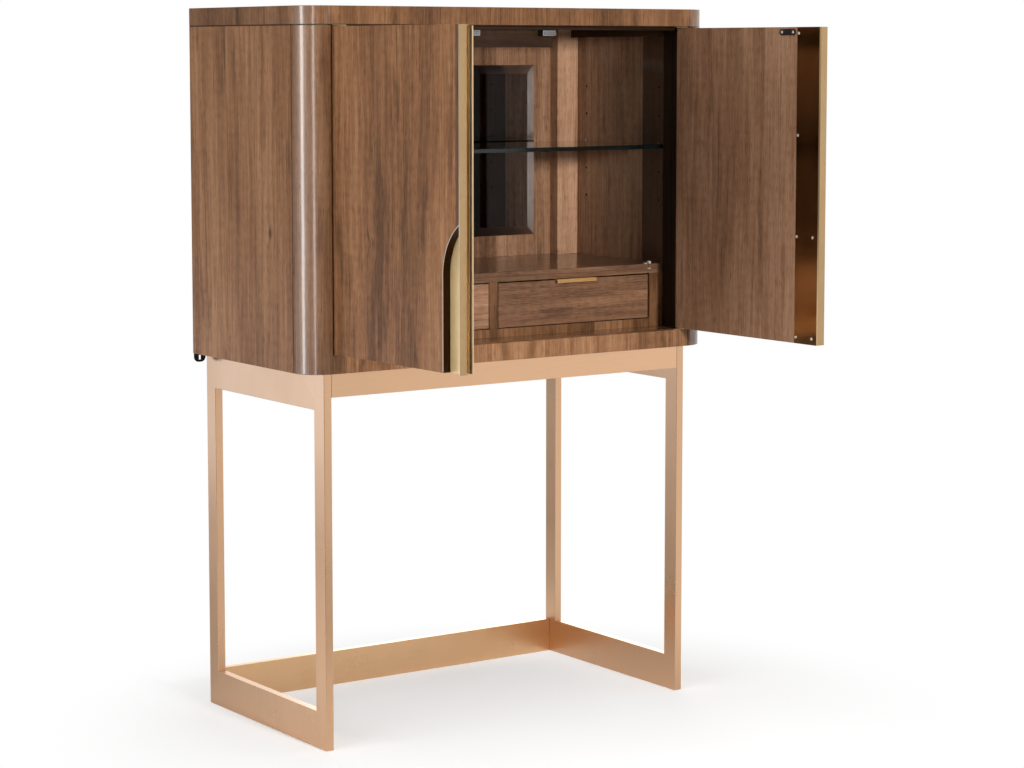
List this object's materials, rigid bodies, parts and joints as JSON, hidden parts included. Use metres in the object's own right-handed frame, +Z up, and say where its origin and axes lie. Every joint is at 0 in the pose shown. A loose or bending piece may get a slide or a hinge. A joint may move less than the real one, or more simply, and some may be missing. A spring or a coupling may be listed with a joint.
{
  "type": "bar cabinet with fold-out shelf",
  "caption": "Rounded wooden bar cabinet on an open metal stand, with arched-pull doors, drawers, a fold-out counter leaf, a glass shelf and a mirrored back.",
  "frame": {"origin": "on the floor, in the middle of the underside of the stand's back floor rail", "axes": "+Z up, +X to the right seen from the front, and the doors face -Y"},
  "size_m": [1.028, 0.9744, 1.524],
  "materials": {
    "walnut": "satin lacquered walnut veneer with a straight grain",
    "polished_walnut": "walnut veneer under a gloss lacquer",
    "drawer_wood": "sanded pale hardwood",
    "stand_metal": "satin brushed rose brass",
    "pull_metal": "brushed brass",
    "dark_bronze": "dark bronze, brushed",
    "plated_steel": "nickel plated",
    "black_metal": "black lacquer",
    "clear_glass": "clear tempered glass with polished edges",
    "mirror_glass": "bevelled mirror"
  },
  "bodies": {
    "cabinet": {"back_panel": "walnut", "back_stiles": "walnut", "bottom_front_rail": "walnut", "bottom_panel": "polished_walnut", "case_hinge_leaves": "plated_steel", "case_screws": "plated_steel", "catch_rail": "walnut", "counter_board": "polished_walnut", "counter_hinges": "plated_steel", "door_catches": "plated_steel", "door_stop_strip": "walnut", "drawer_divider": "walnut", "drawer_face_frame": "walnut", "drawer_runners": "drawer_wood", "glass_shelf": "clear_glass", "inner_back_panel": "walnut", "left_corner_post": "walnut", "left_liner_panel": "walnut", "left_side_panel": "walnut", "mirror": "mirror_glass", "right_corner_post": "walnut", "right_liner_panel": "walnut", "right_side_panel": "walnut", "shelf_clips": "plated_steel", "stand_back_apron": "stand_metal", "stand_back_floor_rail": "stand_metal", "stand_front_apron": "stand_metal", "stand_left_frame": "stand_metal", "stand_mount_plates": "stand_metal", "stand_right_frame": "stand_metal", "tip_tabs": "black_metal", "top_cleats": "walnut", "top_panel": "walnut"},
    "left_door": {"left_door_astragal": "dark_bronze", "left_door_edge_strip": "pull_metal", "left_door_hinge_leaves": "plated_steel", "left_door_inner_panel": "walnut", "left_door_inner_plate": "pull_metal", "left_door_panel": "walnut", "left_door_pull_tray": "pull_metal", "left_door_screws": "plated_steel", "left_door_strike_plate": "black_metal"},
    "right_door": {"right_door_edge_strip": "pull_metal", "right_door_hinge_leaves": "plated_steel", "right_door_inner_panel": "walnut", "right_door_inner_plate": "pull_metal", "right_door_panel": "walnut", "right_door_pull_tray": "pull_metal", "right_door_screws": "plated_steel", "right_door_strike_plate": "black_metal"},
    "left_drawer": {"left_drawer_bottom": "drawer_wood", "left_drawer_box": "drawer_wood", "left_drawer_front": "walnut", "left_drawer_pull": "pull_metal"},
    "right_drawer": {"right_drawer_bottom": "drawer_wood", "right_drawer_box": "drawer_wood", "right_drawer_front": "walnut", "right_drawer_pull": "pull_metal"},
    "serving_leaf": {"fold_leaf": "polished_walnut", "fold_leaf_hinges": "plated_steel"}
  },
  "joints": [
    {"name": "left_door_swing", "type": "hinge", "parent": "cabinet", "child": "left_door", "pos_m": [-0.447, -0.512, 0], "axis": [0, 0, -1], "range_deg": [-88.5, 6.5]},
    {"name": "right_door_swing", "type": "hinge", "parent": "cabinet", "child": "right_door", "pos_m": [0.447, -0.512, 0], "axis": [0, 0, 1], "range_deg": [-92, 3]},
    {"name": "left_drawer_slide", "type": "slide", "parent": "cabinet", "child": "left_drawer", "axis": [0, -1, 0], "range_m": [0, 0.25]},
    {"name": "right_drawer_slide", "type": "slide", "parent": "cabinet", "child": "right_drawer", "axis": [0, -1, 0], "range_m": [0, 0.25]},
    {"name": "leaf_fold_out", "type": "hinge", "parent": "cabinet", "child": "serving_leaf", "pos_m": [0, -0.4258, 0.95065], "axis": [1, 0, 0], "range_deg": [0, 180]}
  ]
}
